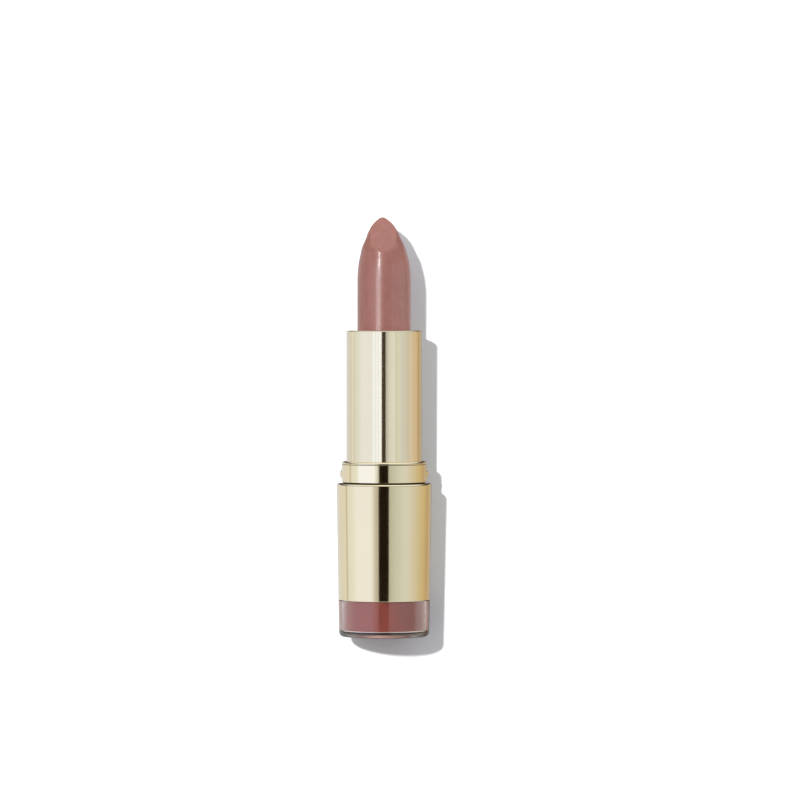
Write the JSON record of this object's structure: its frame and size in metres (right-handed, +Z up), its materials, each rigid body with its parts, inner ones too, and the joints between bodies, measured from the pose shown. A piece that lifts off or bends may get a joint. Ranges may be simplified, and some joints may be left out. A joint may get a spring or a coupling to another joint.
{
  "type": "lipstick case",
  "caption": "Twist-up lipstick case with its cap off: clear weighted base with a gold band, gold cap collar, champagne sleeve that turns, and a slanted stick of product wound out.",
  "frame": {"origin": "middle of the foot, where the base stands on a surface", "axes": "+Z up the case towards the tip of the product; -Y is the front, the side the slanted face looks to; the collar's two detents are at -X and +X"},
  "size_m": [0.0214, 0.0214, 0.095],
  "materials": {
    "clear_plastic": "clear, polished, faintly warm",
    "shade_plastic": "rose brown, satin, seen through the clear cup",
    "label_paper": "coated board disc, blank",
    "steel": "turned steel, dull",
    "gold_metal": "pale gold anodised, bright polished",
    "champagne_metal": "champagne anodised, bright polished",
    "natural_plastic": "natural acetal, satin",
    "elastomer": "greased elastomer ring",
    "product": "satin rose wax with fine shimmer"
  },
  "bodies": {
    "base": {"clear_base_cup": "clear_plastic", "shade_insert": "shade_plastic", "shade_label": "label_paper", "ballast_weight": "steel", "base_band": "gold_metal", "inner_base": "natural_plastic", "neck_collar": "gold_metal", "guide_tube": "natural_plastic", "drag_ring": "elastomer"},
    "upper_sleeve": {"tube_shell": "champagne_metal", "spiral_sleeve": "natural_plastic"},
    "carrier": {"carrier_cup": "champagne_metal", "bullet": "product"}
  },
  "joints": [
    {"name": "sleeve_twist", "type": "hinge", "parent": "base", "child": "upper_sleeve", "pos_m": [0, 0, 0.03965], "axis": [0, 0, 1], "range_deg": [0, 810]},
    {"name": "carrier_slide", "type": "slide", "parent": "base", "child": "carrier", "axis": [0, 0, 1], "range_m": [-0.027, 0]}
  ],
  "couplings": [
    {"joint": "sleeve_twist", "follows": "carrier_slide", "rad_per_m": -523.6}
  ]
}
